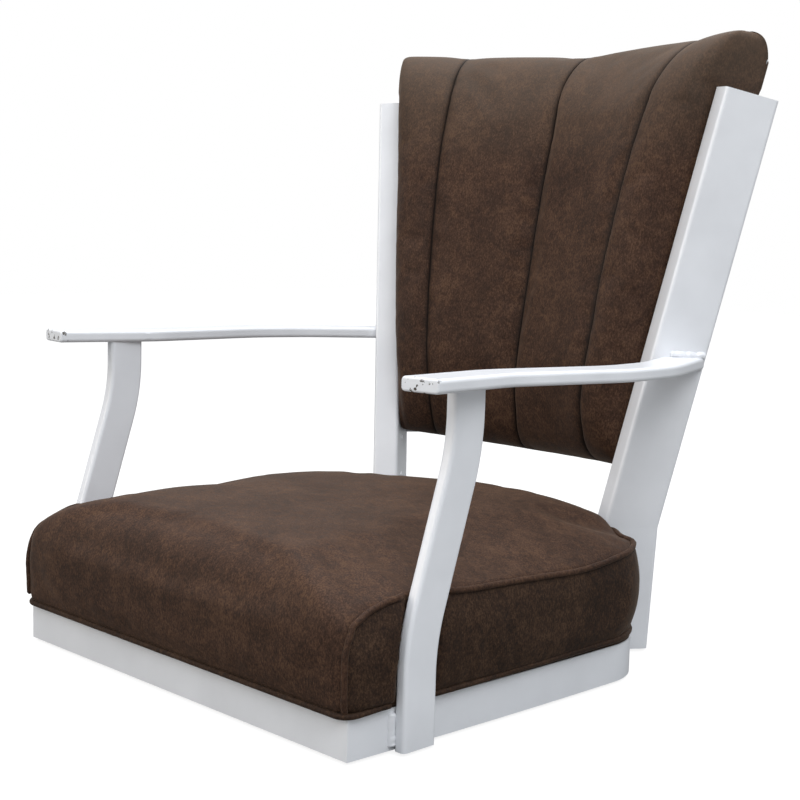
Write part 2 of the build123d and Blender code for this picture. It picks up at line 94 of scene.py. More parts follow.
def suede_look(name, browns, scuff):
    """Distressed suede-look microfibre: printed mottling in four browns, a short nap that
    greys at grazing light, a fine leather-like grain, painted shade in the seams and a
    painted sheen at the very top of the back."""
    material, tree, where = finish_of(name)
    clouds = add(tree, "TexNoise", {
        "Vector": where, "Scale": per_mm(60), "Detail": 3.0, "Roughness": 0.55, "Distortion": 0.4})
    mottle = add(tree, "TexNoise", {
        "Vector": where, "Scale": per_mm(9), "Detail": 6.0, "Roughness": 0.68, "Distortion": 0.6})
    # Nap fibres are far finer than a millimetre; drawn at 1.7 mm so that they show
    brushed = add(tree, "Mapping", {
        "Vector": where, "Rotation": (0.5, 0.6, 0.6), "Scale": (1.0, 1.0, 0.55)})
    nap = add(tree, "TexNoise", {
        "Vector": brushed.outputs[0], "Scale": per_mm(1.7), "Detail": 3.0, "Roughness": 0.8})
    tone = add(tree, "Math", {0: clouds.outputs["Fac"], 1: 0.2}, operation="MULTIPLY")
    for pattern, weight in ((mottle, 0.32), (nap, 0.48)):
        tone = add(tree, "Math", {0: pattern.outputs["Fac"], 1: weight, 2: tone.outputs[0]},
                   operation="MULTIPLY_ADD")
    printed = add(tree, "ValToRGB", {"Fac": tone.outputs[0]},
                  stops=list(zip((0.41, 0.472, 0.528, 0.59), browns)))
    # Rubbed scuffs, where the print has worn paler
    scuffs = add(tree, "TexNoise", {
        "Vector": where, "Scale": per_mm(7), "Detail": 5.0, "Roughness": 0.75, "Distortion": 1.5})
    worn = add(tree, "MapRange", {
        "Value": scuffs.outputs["Fac"], "From Min": 0.58, "From Max": 0.76, "To Max": 0.32})
    # Painted sheen: lighter and greyer towards the very top of the back, standing in for the light it
    # catches there
    up = add(tree, "SeparateXYZ", {"Vector": where}).outputs["Z"]
    painted_sheen_top = add(tree, "MapRange", {
        "Value": up, "From Min": 520 * MM, "From Max": 680 * MM, "To Max": 0.4})
    # Painted shade in the seams, from the mesh's own measure of how deep in one it lies
    seam = add(tree, "Attribute", attribute_name="seam").outputs["Fac"]
    shade = add(tree, "Math", {0: seam, 1: 0.97}, operation="MULTIPLY")
    colour = printed.outputs["Color"]
    # The rubbed scuffs are real wear; the sheen at the top and the shade in the seams are painted
    for share, code in ((worn, scuff), (painted_sheen_top, "#64584B"), (shade, "#120C09")):
        colour = add(tree, "Mix", {0: share.outputs[0], 6: colour, 7: linear(code)},
                     data_type="RGBA").outputs[2]
    grain = add(tree, "TexNoise", {
        "Vector": where, "Scale": per_mm(2.4), "Detail": 4.0, "Roughness": 0.6})
    height = add(tree, "Bump", {
        "Height": grain.outputs["Fac"], "Strength": 0.35, "Distance": 0.4 * MM})
    rough = add(tree, "MapRange", {
        "Value": mottle.outputs["Fac"], "From Min": 0.3, "From Max": 0.7,
        "To Min": 0.62, "To Max": 0.8})
    cloth = add(tree, "BsdfPrincipled", {
        "Base Color": colour, "Roughness": rough.outputs[0], "Normal": height.outputs[0],
        "IOR": 1.45, "Specular IOR Level": 0.22, "Sheen Weight": 0.11, "Sheen Roughness": 0.35,
        "Sheen Tint": linear("#E6CCB2")})
    add(tree, "OutputMaterial", {"Surface": cloth.outputs[0]})
    return material


def powder_coat():
    """Semi-gloss white powder coat baked on steel: cool white, a fine orange peel that breaks
    up reflections, a faint change of tone, and small chips down to dark primer at the arms'
    front ends."""
    material, tree, where = finish_of("white_powder_coat_on_steel")
    peel = add(tree, "TexNoise", {
        "Vector": where, "Scale": per_mm(2.2), "Detail": 2.0, "Roughness": 0.5})
    tone = add(tree, "TexNoise", {
        "Vector": where, "Scale": per_mm(60), "Detail": 3.0, "Roughness": 0.5})
    white = add(tree, "ValToRGB", {"Fac": tone.outputs["Fac"]},
                stops=((0.3, "#E4E6EA"), (0.7, "#ECEEF2")))
    place = add(tree, "SeparateXYZ", {"Vector": where})
    near_end = add(tree, "MapRange", {
        "Value": place.outputs["Y"], "From Min": -172 * MM, "From Max": -180 * MM})
    high = add(tree, "MapRange", {
        "Value": place.outputs["Z"], "From Min": 300 * MM, "From Max": 310 * MM})
    spots = add(tree, "TexNoise", {
        "Vector": where, "Scale": per_mm(5.5), "Detail": 4.0, "Roughness": 0.6})
    knocked = add(tree, "MapRange", {
        "Value": spots.outputs["Fac"], "From Min": 0.6, "From Max": 0.615})
    chips = near_end.outputs[0]
    for mask in (high, knocked):
        chips = add(tree, "Math", {0: chips, 1: mask.outputs[0]}, operation="MULTIPLY").outputs[0]
    colour = add(tree, "Mix", {0: chips, 6: white.outputs["Color"], 7: linear("#4A443C")},
                 data_type="RGBA")
    rough = add(tree, "MapRange", {"Value": chips, "To Min": 0.32, "To Max": 0.85})
    height = add(tree, "Bump", {
        "Height": peel.outputs["Fac"], "Strength": 0.22, "Distance": 0.25 * MM})
    paint = add(tree, "BsdfPrincipled", {
        "Base Color": colour.outputs[2], "Roughness": rough.outputs[0],
        "Normal": height.outputs[0], "IOR": 1.5, "Coat Weight": 0.25, "Coat Roughness": 0.18})
    add(tree, "OutputMaterial", {"Surface": paint.outputs[0]})
    return material


def zinc_plate():
    """Zinc-plated rolled steel: grey metal with a faint blue passivation and a drawn grain."""
    material, tree, where = finish_of("zinc_plated_steel")
    drawn = add(tree, "Mapping", {"Vector": where, "Scale": (1.0, 12.0, 1.0)})
    grain = add(tree, "TexNoise", {
        "Vector": drawn.outputs[0], "Scale": per_mm(5), "Detail": 4.0, "Roughness": 0.6})
    grey = add(tree, "ValToRGB", {"Fac": grain.outputs["Fac"]},
               stops=((0.3, "#A9ADB1"), (0.7, "#C4C7CA")))
    rough = add(tree, "MapRange", {
        "Value": grain.outputs["Fac"], "From Min": 0.3, "From Max": 0.7,
        "To Min": 0.3, "To Max": 0.45})
    height = add(tree, "Bump", {
        "Height": grain.outputs["Fac"], "Strength": 0.15, "Distance": 0.1 * MM})
    metal = add(tree, "BsdfPrincipled", {
        "Base Color": grey.outputs["Color"], "Metallic": 1.0, "Roughness": rough.outputs[0],
        "Normal": height.outputs[0]})
    add(tree, "OutputMaterial", {"Surface": metal.outputs[0]})
    return material


def ball_steel():
    """Polished bearing steel under a thin film of grease, which smears its shine."""
    material, tree, where = finish_of("polished_bearing_steel")
    film = add(tree, "TexNoise", {"Vector": where, "Scale": per_mm(3), "Detail": 2.0})
    rough = add(tree, "MapRange", {"Value": film.outputs["Fac"], "To Min": 0.06, "To Max": 0.28})
    bright = add(tree, "ValToRGB", {"Fac": film.outputs["Fac"]},
                 stops=((0.3, "#B9BABB"), (0.7, "#CFD0D1")))
    metal = add(tree, "BsdfPrincipled", {
        "Base Color": bright.outputs["Color"], "Metallic": 1.0, "Roughness": rough.outputs[0]})
    add(tree, "OutputMaterial", {"Surface": metal.outputs[0]})
    return material


def birch_ply():
    """Bare birch plywood: pale rotary-cut face grain, with the veneers' lines on its edges."""
    material, tree, where = finish_of("birch_plywood")
    along_grain = add(tree, "Mapping", {"Vector": where, "Scale": (1.0, 0.12, 1.0)})
    grain = add(tree, "TexNoise", {
        "Vector": along_grain.outputs[0], "Scale": per_mm(9), "Detail": 6.0, "Roughness": 0.6,
        "Distortion": 1.2})
    face = add(tree, "ValToRGB", {"Fac": grain.outputs["Fac"]},
               stops=((0.3, "#C79F6C"), (0.55, "#D9B683"), (0.75, "#E3C698")))
    # A wave has 20 radians to a unit, so this gives veneers 2 mm thick
    plies = add(tree, "TexWave", {
        "Vector": where, "Scale": per_mm(2.0117) * math.tau / 20, "Distortion": 0.4},
        bands_direction="Z")
    dark = add(tree, "MapRange", {
        "Value": plies.outputs["Fac"], "From Min": 0.7, "From Max": 1.0, "To Max": 0.22})
    colour = add(tree, "Mix", {
        0: dark.outputs[0], 6: face.outputs["Color"], 7: linear("#7A5633")}, data_type="RGBA")
    height = add(tree, "Bump", {
        "Height": grain.outputs["Fac"], "Strength": 0.2, "Distance": 0.2 * MM})
    wood = add(tree, "BsdfPrincipled", {
        "Base Color": colour.outputs[2], "Roughness": 0.62, "Normal": height.outputs[0]})
    add(tree, "OutputMaterial", {"Surface": wood.outputs[0]})
    return material


def camera_sees(tree):
    """1 where the camera looks, straight or through something clear, and 0 for other light."""
    path = add(tree, "LightPath")
    rays = {0: path.outputs["Is Camera Ray"], 1: path.outputs["Is Transmission Ray"]}
    return add(tree, "Math", rays, operation="MAXIMUM").outputs[0]


def pale_floor():
    """Pale studio paper: the camera sees it nearly white, with the object's shadow on it."""
    material, tree, where = finish_of("pale_studio_paper")
    fibre = add(tree, "TexNoise", {"Vector": where, "Scale": 6.0, "Detail": 2.0})
    colour = add(tree, "ValToRGB", {"Fac": fibre.outputs["Fac"]},
                 stops=((0.3, "#7C7C7B"), (0.7, "#80807F")))
    paper = add(tree, "BsdfDiffuse", {"Color": colour.outputs["Color"]})
    glow = add(tree, "Emission", {"Color": linear("#FFFFFF"), "Strength": 0.86})
    lit = add(tree, "AddShader", {0: paper.outputs[0], 1: glow.outputs[0]})
    both = add(tree, "MixShader", {0: camera_sees(tree), 1: paper.outputs[0], 2: lit.outputs[0]})
    add(tree, "OutputMaterial", {"Surface": both.outputs[0]})
    return material


SUEDE = suede_look("distressed_microsuede", ("#27180F", "#36241A", "#432E22", "#543D2D"), "#674E3D")
# A darker copy of the suede: painted shade on the boxing round the sides and rear, and on the hem and lower
# welt under the cushion's overhang
SHADED_SUEDE = suede_look("distressed_microsuede_painted_shade",
                    ("#1D120B", "#2C1D14", "#38271B", "#493628"), "#58432F")
PAINT = powder_coat()
ZINC = zinc_plate()
SLOT_FINISH = {
    "white_powder_coat": PAINT,
    "brown_microsuede": SUEDE,
    "plywood": birch_ply(),
    "zinc_plate": ZINC,
    "ball_steel": ball_steel(),
}
for row in frame["record"]["subparts"]:
    mesh = frame["nodes"][row["node"]].data
    mesh.materials.clear()
    mesh.materials.append(SLOT_FINISH[row["material_slot"]])


# ---------------------------------------------------------------- mesh helpers

def piece(name, points, faces, material, slot="brown_microsuede"):
    """A smooth-shaded piece from points in millimetres; it rides on the seat unit."""
    mesh = bpy.data.meshes.new(name)
    mesh.from_pydata([tuple(float(c) * MM for c in p) for p in points], [], faces)
    tidy = bmesh.new()
    tidy.from_mesh(mesh)
    bmesh.ops.recalc_face_normals(tidy, faces=tidy.faces)
    tidy.to_mesh(mesh)
    tidy.free()
    mesh.polygons.foreach_set("use_smooth", [True] * len(mesh.polygons))
    mesh.materials.append(material)
    made = bpy.data.objects.new(name, mesh)
    bpy.context.scene.collection.objects.link(made)
    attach(made, SEAT)
    return made


def points_of(thing):
    """A piece's points, in millimetres."""
    co = np.zeros(len(thing.data.vertices) * 3)
    thing.data.vertices.foreach_get("co", co)
    return co.reshape(-1, 3) / MM


def set_points(thing, points):
    """Moves a piece's points to places in millimetres."""
    thing.data.vertices.foreach_set("co", (points * MM).astype(np.float32).ravel())
    thing.data.update()


def loop_faces(rings, per_ring):
    """Quads between successive closed rings of points."""
    faces = []
    for r in range(rings - 1):
        for i in range(per_ring):
            j = (i + 1) % per_ring
            faces.append((r * per_ring + i, r * per_ring + j,
                          (r + 1) * per_ring + j, (r + 1) * per_ring + i))
    return faces


def end_faces(rings, per_ring):
    """One face over the first ring and one over the last."""
    top = (rings - 1) * per_ring
    return [tuple(range(per_ring))[::-1], tuple(range(top, top + per_ring))]


def apply_modifiers(thing):
    """Keeps the mesh that the modifiers make, and drops them."""
    graph = bpy.context.evaluated_depsgraph_get()
    mesh = bpy.data.meshes.new_from_object(thing.evaluated_get(graph))
    thing.modifiers.clear()
    thing.data = mesh
    mesh.polygons.foreach_set("use_smooth", [True] * len(mesh.polygons))


WOBBLE = 0.19     # turns per millimetre of the noise that varies a tube's radius
TIP_SHARE = 0.35  # a tube's ends are drawn in to this share of its radius


def tube(name, path, radius, material, closed=False, sides=10, slot="brown_microsuede",
         vary=0.0, seed=0.0):
    """A round tube along points, its radius varied by a share, with rounded ends."""
    path = [Vector(p) for p in path]
    count = len(path)
    points = []
    normal = None
    for i, here in enumerate(path):
        before = path[i - 1] if i or closed else here
        after = path[(i + 1) % count] if i + 1 < count or closed else here
        way = (after - before).normalized()
        if normal is None:
            normal = way.orthogonal().normalized()
        normal = (normal - way * normal.dot(way)).normalized()
        side = way.cross(normal)
        size = radius * (1 + vary * noise.noise(here * WOBBLE + Vector((seed, seed, seed))) * 2)
        if not closed and i in (0, count - 1):
            size *= TIP_SHARE
        for k in range(sides):
            a = 2 * math.pi * k / sides
            points.append(here + normal * (size * math.cos(a)) + side * (size * math.sin(a)))
    faces = loop_faces(count, sides)
    if closed:
        last = (count - 1) * sides
        # the first ring is met where it lines up best with the last
        apart = lambda turn: sum((points[last + k] - points[(k + turn) % sides]).length
                                 for k in range(sides))
        turn = min(range(sides), key=apart)
        faces += [(last + k, last + (k + 1) % sides, (k + 1 + turn) % sides, (k + turn) % sides)
                  for k in range(sides)]
    else:
        faces += end_faces(count, sides)
    return piece(name, points, faces, material, slot)


def smooth_line(points, count, closed=False):
    """Evenly spaced points on a Catmull-Rom curve through the given ones."""
    given = [np.array(p, float) for p in points]
    n = len(given)
    dense = []
    for i in range(n if closed else n - 1):
        p0 = given[(i - 1) % n] if closed or i else given[0]
        p1, p2 = given[i], given[(i + 1) % n]
        p3 = given[(i + 2) % n] if closed or i + 2 < n else given[-1]
        for t in np.linspace(0, 1, 16, endpoint=False):
            square = (2 * p0 - 5 * p1 + 4 * p2 - p3) * t * t
            cube = (3 * p1 - p0 - 3 * p2 + p3) * t ** 3
            dense.append(0.5 * (2 * p1 + (p2 - p0) * t + square + cube))
    dense.append(given[0] if closed else given[-1])
    dense = np.array(dense)
    run = np.concatenate([[0], np.cumsum(np.linalg.norm(np.diff(dense, axis=0), axis=1))])
    stops = np.linspace(0, run[-1], count + 1 if closed else count)
    line = np.stack([np.interp(stops, run, dense[:, k]) for k in range(3)], axis=1)
    return line[:-1] if closed else line


def eased(t):
    """A smooth step from 0 to 1."""
    t = np.clip(t, 0, 1)
    return t * t * (3 - 2 * t)


def read_off(table, at):
    """The value that a table of (place, value) pairs gives at a place, or at many."""
    return np.interp(at, *zip(*table))


# ---------------------------------------------------------------- the frame's own shapes

APRON_FRONT, APRON_BACK, APRON_TOP = -225.0, 207.0, 41.1
APRON_FOOT = 3.0
FRONT_HALF, SIDE_HALF, REAR_RADIUS = 250.0, 259.5, 72.0
BAR_WIDTH, BAR_THICK = 40.0, 13.0
POST_X, POST_FOOT_Y, POST_BEND_Z, POST_BEND_R = 260.0, -154.0, 67.0, 200.0
POST_SLOPE = math.radians(17.6)
UPRIGHT_FOOT = Vector((162.2, 215.8, APRON_FOOT))
UPRIGHT_TURN, LEAN_HEADING = math.radians(33.65), math.radians(47.5)
LOWER_LEAN, UPPER_LEAN = math.radians(2.64), math.radians(12.87)
UPRIGHT_WIDTH, UPRIGHT_BEND, UPRIGHT_TOP = 31.0, 134.4, 604.8
OUT_WAY = Vector((math.cos(UPRIGHT_TURN), -math.sin(UPRIGHT_TURN), 0))
DEPTH_WAY = Vector((math.sin(UPRIGHT_TURN), math.cos(UPRIGHT_TURN), 0))
LEAN_WAY = Vector((math.sin(LEAN_HEADING), math.cos(LEAN_HEADING), 0))


def upright_lean(height):
    """How far an upright leans out at a height above the apron's underside."""
    lower, upper = np.minimum(height, UPRIGHT_BEND), np.maximum(height - UPRIGHT_BEND, 0)
    return lower * math.tan(LOWER_LEAN) + upper * math.tan(UPPER_LEAN)


def upright_front(height):
    """Middle of the left upright's front face at a height above the apron's underside."""
    return UPRIGHT_FOOT + LEAN_WAY * float(upright_lean(height)) + Vector((0, 0, height))


def back_arc(height):
    """Centre, from above, and radius of the arc that joins the uprights' front edges."""
    edge = upright_front(height) - OUT_WAY * (UPRIGHT_WIDTH / 2)
    radius = edge.x / math.sin(UPRIGHT_TURN)
    return edge.y - radius * math.cos(UPRIGHT_TURN), radius


def post_y(z):
    """The middle of the arm post, seen from the side, at a height."""
    bend_rise = POST_BEND_R * math.sin(POST_SLOPE)
    rise = np.clip(z - POST_BEND_Z, 0, bend_rise)
    above = np.maximum(z - POST_BEND_Z - bend_rise, 0)
    kick = POST_BEND_R - np.sqrt(POST_BEND_R ** 2 - rise ** 2)
    return POST_FOOT_Y + kick + above * math.tan(POST_SLOPE)


# ---------------------------------------------------------------- padding

# Beside a post and an upright the cloth comes out again: how far, and over what distance
BESIDE_POST, BESIDE_UPRIGHT = (16.0, 9.0), (24.0, 14.0)


def keep_clear(points, margin):
    """Presses points out of the arm posts and the uprights, easing off beside them."""
    kept = points.copy()
    for side in (1, -1):
        x, y, z = kept[:, 0] * side, kept[:, 1], kept[:, 2]
        beside = np.abs(y - post_y(z)) - BAR_WIDTH / 2 - margin
        limit = POST_X - BAR_THICK / 2 - margin + BESIDE_POST[0] * eased(beside / BESIDE_POST[1])
        x = np.where(x > 0, np.minimum(x, limit), x)
        lean = upright_lean(z - APRON_FOOT)
        from_x = x - UPRIGHT_FOOT.x - LEAN_WAY.x * lean
        from_y = y - UPRIGHT_FOOT.y - LEAN_WAY.y * lean
        across = np.abs(from_x * OUT_WAY.x + from_y * OUT_WAY.y)
        beside = across - UPRIGHT_WIDTH / 2 - margin
        depth = from_x * DEPTH_WAY.x + from_y * DEPTH_WAY.y
        room = BESIDE_UPRIGHT[0] * eased(beside / BESIDE_UPRIGHT[1])
        push = np.where(x > 0, np.maximum(depth + margin - room, 0), 0)
        kept[:, 0] = (x - push * DEPTH_WAY.x) * side
        kept[:, 1] = y - push * DEPTH_WAY.y
    return kept


CLOTH_STEPS = 20


def fill_out(cover, held, pressure, cap, slack, settle, voxel=None):
    """Swells a cover with cloth simulation. held gives, for each point, 1 where it is sewn or
    tacked down; cap is the furthest that a point may move; slack is the cloth's spare share;
    settle is how many smoothing passes the result gets; voxel is the size of an even mesh."""
    if voxel:
        remesh = cover.modifiers.new("even_cloth", "REMESH")
        remesh.mode = "VOXEL"
        remesh.voxel_size = voxel * MM
        apply_modifiers(cover)
    start = points_of(cover)
    group = cover.vertex_groups.new(name="sewn")
    for index, weight in enumerate(held(start)):
        if weight > 0.01:
            group.add([index], float(weight), "REPLACE")
    cloth = cover.modifiers.new("cloth", "CLOTH")
    cloth.settings.quality = 6
    cloth.settings.mass = 0.35
    cloth.settings.tension_stiffness = cloth.settings.compression_stiffness = 22
    cloth.settings.shear_stiffness = 8
    cloth.settings.bending_stiffness = 0.6
    cloth.settings.vertex_group_mass = "sewn"
    cloth.settings.pin_stiffness = 1.0
    cloth.settings.use_pressure = True
    cloth.settings.uniform_pressure_force = pressure
    cloth.settings.shrink_min = -slack
    cloth.settings.effector_weights.gravity = 0
    cloth.collision_settings.use_collision = False
    cloth.collision_settings.use_self_collision = False
    cloth.point_cache.frame_start, cloth.point_cache.frame_end = 1, CLOTH_STEPS
    for step in range(1, CLOTH_STEPS + 1):
        bpy.context.scene.frame_set(step)
    graph = bpy.context.evaluated_depsgraph_get()
    swollen = points_of(cover.evaluated_get(graph))
    cover.modifiers.clear()
    bpy.context.scene.frame_set(1)
    moved = swollen - start
    far = np.linalg.norm(moved, axis=1, keepdims=True)
    moved *= np.minimum(1, cap / np.maximum(far, 1e-6))
    set_points(cover, start + moved)
    ease = cover.modifiers.new("ease", "SMOOTH")
    ease.factor, ease.iterations = 0.5, settle
    ease.vertex_group, ease.invert_vertex_group = "sewn", True
    apply_modifiers(cover)


def subdivide(cover):
    """Divides the cover's mesh once, with rounding."""
    rounding = cover.modifiers.new("round", "SUBSURF")
    rounding.levels = rounding.render_levels = 1
    apply_modifiers(cover)


# ---------------------------------------------------------------- seat cushion

# Points along each stretch of half the seat's outline
ON_FRONT, ON_FRONT_CORNER, ON_SIDE, ON_REAR_CORNER, ON_REAR = 44, 12, 64, 24, 34


def seat_outline(growth, front_growth, rear_growth, rear_radius, front_radius):
    """The seat's outline from above, counter-clockwise from the middle of the front. Every
    call gives the same number of points, so that outlines can be joined level by level."""
    front_y, back_y = APRON_FRONT - front_growth, APRON_BACK + rear_growth
    wide = SIDE_HALF + growth
    corner_y = back_y - rear_radius
    bow = SIDE_HALF - FRONT_HALF
    run = corner_y - front_y
    bow_radius = (run ** 2 + bow ** 2) / (2 * bow)
    side = lambda y: wide - bow_radius + math.sqrt(bow_radius ** 2 - (corner_y - y) ** 2)
    side_foot = front_y + front_radius
    corner_x = side(side_foot) - front_radius
    half = [(x, front_y) for x in np.linspace(0, corner_x, ON_FRONT, endpoint=False)]
    for a in np.radians(np.linspace(-90, 0, ON_FRONT_CORNER, endpoint=False)):
        half.append((corner_x + front_radius * math.cos(a), side_foot + front_radius * math.sin(a)))
    half += [(side(y), y) for y in np.linspace(side_foot, corner_y, ON_SIDE, endpoint=False)]
    for a in np.radians(np.linspace(0, 90, ON_REAR_CORNER, endpoint=False)):
        half.append((wide - rear_radius + rear_radius * math.cos(a),
                     corner_y + rear_radius * math.sin(a)))
    half += [(x, back_y) for x in np.linspace(wide - rear_radius, 0, ON_REAR)]
    return half + [(-x, y) for x, y in half[-2:0:-1]]


CUSHION_FOOT, CUSHION_SIDE_TOP, CROWN = 44.5, 125.1, 41.0
# How far the padding stands out over the apron, and how far its welts draw it in
OVERHANG, DRAWN_IN = 11.0, 5.0
FRONT_OVERHANG, FRONT_SWELL = 7.5, 3.5
REAR_ROUNDING, REAR_TIGHTENING = 18.0, 12.0
FRONT_CORNER, CROWN_CORNER = 22.0, 58.0
FRONT_CORNER_DROP = 13.5
# The lower welt rises from the front to the rear: by y, how far
FOOT_LIFT = ((-228, -0.2), (-215, 0.8), (-190, 2.0), (-125, 2.2), (-70, 2.8), (-12, 3.6),
             (48, 4.2), (110, 5.0), (215, 5.0))
# Reach and edge radius of the crown's roll at the sides, in front and behind
ROLLS = ((168.0, 24.0), (150.0, 37.0), (128.0, 24.0))
# How far the padding stands up behind, across the rear from the sitter's right: it has
# worked towards the left, and drops at both rear corners
REAR_RAISE = ((-231, -6), (-170, -5), (-132, -2.5), (-88, 1.5), (-46, 6.5), (0, 11.5),
              (22, 14), (66, 15.2), (105, 14.6), (145, 13.5), (184, 12), (193, 5.5),
              (204, -3.5), (216, -5.5), (240, 0))


def turn_of(reach, radius):
    """Angle at which a roll leaves its round edge for the crown's gentle rise, by bisection."""
    low, high = math.radians(20), math.radians(89)
    for _ in range(40):
        angle = (low + high) / 2
        rest = (reach - radius * (1 - math.cos(angle))) / math.tan(angle) / 2
        low, high = (angle, high) if radius * math.sin(angle) + rest > CROWN else (low, angle)
    return angle


def rolled_in(rise, reach, radius, turn):
    """How far in the roll has come at a rise above the cushion's side."""
    edge = radius * math.sin(turn)
    if rise <= edge:
        return radius - math.sqrt(radius ** 2 - rise ** 2)
    start = radius * (1 - math.cos(turn))
    rest = min((rise - edge) / (CROWN - edge), 1)
    return start + (reach - start) * (1 - math.sqrt(1 - rest))


TURNS = [turn_of(*roll) for roll in ROLLS]


def cushion_ring(z, rise, share):
    """One level of the cushion: share is how far up the side it is, rise how far above it."""
    growth = OVERHANG - DRAWN_IN * (2 * share - 1) ** 2
    front_growth = FRONT_OVERHANG + FRONT_SWELL * share
    insets = [rolled_in(rise, reach, radius, turn) for (reach, radius), turn in zip(ROLLS, TURNS)]
    part = [inset / reach for inset, (reach, _) in zip(insets, ROLLS)]
    rear = REAR_RADIUS + growth + REAR_ROUNDING - REAR_TIGHTENING * share
    rear = rear * (1 - part[2]) + CROWN_CORNER * part[2]
    front = FRONT_CORNER * (1 - part[1]) + CROWN_CORNER * part[1]
    side, ahead, behind = (g - inset for g, inset in zip((growth, front_growth, growth), insets))
    return [(x, y, z) for x, y in seat_outline(side, ahead, behind, rear, front)]


def cushion_shell():
    """The cushion's closed form: drawn in at its welts, waterfall front, crown, raised rear."""
    # the underside is hollowed where it sits on the board
    inner = seat_outline(-12.0, -12.0, -12.0, REAR_RADIUS - 12, 20.0)
    rings = [[(x, y, z) for x, y in inner] for z in (APRON_TOP + 12.4, CUSHION_FOOT)]
    for share in np.linspace(0, 1, 15):
        z = CUSHION_FOOT + (CUSHION_SIDE_TOP - CUSHION_FOOT) * share
        rings.append(cushion_ring(z, 0, share))
    for t in np.linspace(0, 1, 31)[1:]:
        rise = CROWN * (1 - (1 - t) ** 2)
        rings.append(cushion_ring(CUSHION_SIDE_TOP + rise, rise, 1))
    count = len(rings[0])
    points = np.array([p for ring in rings for p in ring])
    x, y, z = points.T
    behind = eased((y - 20) / 170) * eased((z - 60) / 60)
    z += read_off(REAR_RAISE, x) * behind * (1 - 0.6 * eased((z - 150) / 18))
    # the front corners are worn rounder than the rest, and pinched in at their sides
    corner = eased(1 - np.hypot(np.abs(x) - 262, y + 238) / 90) * eased((z - 70) / 60)
    z -= FRONT_CORNER_DROP * corner
    pinch = eased((-165 - y) / 50) * eased((z - 50) / 20) * eased((np.abs(x) - 200) / 40)
    x -= np.sign(x) * (2.0 * corner + 4.2 * pinch)
    z += read_off(FOOT_LIFT, y) * eased((100 - z) / 50)
    # sat down a little along both arms
    z -= 3.0 * eased((np.abs(x) - 110) / 90) * eased((y + 130) / 100) * eased((z - 120) / 30)
    return points, loop_faces(len(rings), count) + end_faces(len(rings), count)


# The upper welt on the left side, from the lower welt up the front corner and back to the
# middle of the rear: points outside the cushion from which it is met level
UPPER_WELT = (
    (250, -229, 46), (251.5, -231, 64), (252, -232, 84), (252, -231, 100), (252, -226, 115),
    (248, -211, 126), (248, -191, 133.5), (250, -170, 138), (256, -140, 138.5), (261, -110, 136),
    (264, -79, 134), (266, -26, 132.5), (267, 16, 131), (268, 60, 129.7), (268, 96, 131),
    (264, 134, 134), (256, 164, 136), (242, 190, 136.5), (222, 208, 135.5), (190, 219, 138),
    (160, 221, 140), (80, 221, 141), (0, 221, 141))


def met_level(tree, place, inward):
    """Where a level line from outside meets the cover, and the cover's normal there."""
    away = Vector(place) - inward * 60
    hit, normal, _, _ = tree.ray_cast(away * MM, inward)
    return (hit / MM, normal) if hit else (Vector(place), -inward)


def upper_welt_path(cover, side):
    """The welt's line on one side, with the cover's normals. It follows the padding, which
    stands lower behind on the sitter's right."""
    tree = BVHTree.FromPolygons([v.co.copy() for v in cover.data.vertices],
                                [tuple(f.vertices) for f in cover.data.polygons])
    found = []
    for x, y, z in smooth_line(UPPER_WELT, 260):
        here, there = read_off(REAR_RAISE, (x * side, x))
        z += (here - there) * eased((y - 20) / 170)
        inward = Vector((-0.7 * side, 0.7, 0)) if y < -222 else Vector((-side, 0, 0))
        if y > 150:
            inward = Vector((side * min(120 - x, 0), 60 - y, 0))
        found.append(met_level(tree, (x * side, y, z), inward.normalized()))
    return found


def upper_welt_line(cover):
    """The welt's points on both sides of the cover."""
    return np.array([p for side in (1, -1) for p, _ in upper_welt_path(cover, side)])


cushion = piece("seat_cushion_cover", *cushion_shell(), SUEDE)
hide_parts("seat_cushion")


def cushion_held(points):
    """The cushion's cover is tacked at its foot, and sewn along the upper welt."""
    foot = 1 - eased((points[:, 2] - read_off(FOOT_LIFT, points[:, 1]) - 48.0) / 6.0)
    line = upper_welt_line(cushion)[::3]
    away = np.min(np.linalg.norm(points[:, None, :] - line[None], axis=2), axis=1)
    return np.maximum(foot, 1 - eased((away - 4.0) / 5.0))


fill_out(cushion, cushion_held, pressure=2.5, cap=5.0, slack=0.006, settle=5, voxel=5.5)
subdivide(cushion)

set_points(cushion, keep_clear(points_of(cushion), 0.6))


def paint_boxing_shade(cover):
    """Gives the faces under the upper welt, round the sides and rear, the darker copy of the suede, which
    paints shade on the boxing.
    """
    cover.data.materials.append(SHADED_SUEDE)
    line = upper_welt_line(cover)
    centre = np.zeros(len(cover.data.polygons) * 3)
    cover.data.polygons.foreach_get("center", centre)
    x, y, z = centre.reshape(-1, 3).T / MM
    apart = (x[:, None] - line[None, :, 0]) ** 2 + (y[:, None] - line[None, :, 1]) ** 2
    # the front is one piece with the seat's top and takes no painted shade, round to the corner where |x| +
    # y is 21
    under = (z < line[np.argmin(apart, axis=1), 2]) & (np.abs(x) + y > 21)
    cover.data.polygons.foreach_set("material_index", under.astype(int))


# Painted shade on the boxing, by the darker copy of the suede
paint_boxing_shade(cushion)


# ---------------------------------------------------------------- back pad

PAD_FOOT, PAD_TOP = 200.3, 667.4
SEAM_ANGLE = math.radians(24.3)
SIDE_GAP = 0.5
# How far the pad's front edges bulge over the uprights' front faces, by height
OVERLAP = ((196, -7.0), (230, -4.0), (262, -1.5), (290, 0.8), (330, 3.0), (440, 4.0),
           (510, 3.2), (590, 3.6), (625, 2.6), (670, 2.4))
ABOVE_UPRIGHTS = 5.0
# The padding is fullest half-way up
FULLNESS = ((300, 0.0), (330, 2.0), (385, 5.0), (440, 7.0), (495, 7.5), (545, 6.5),
            (590, 3.0), (625, 0.0))
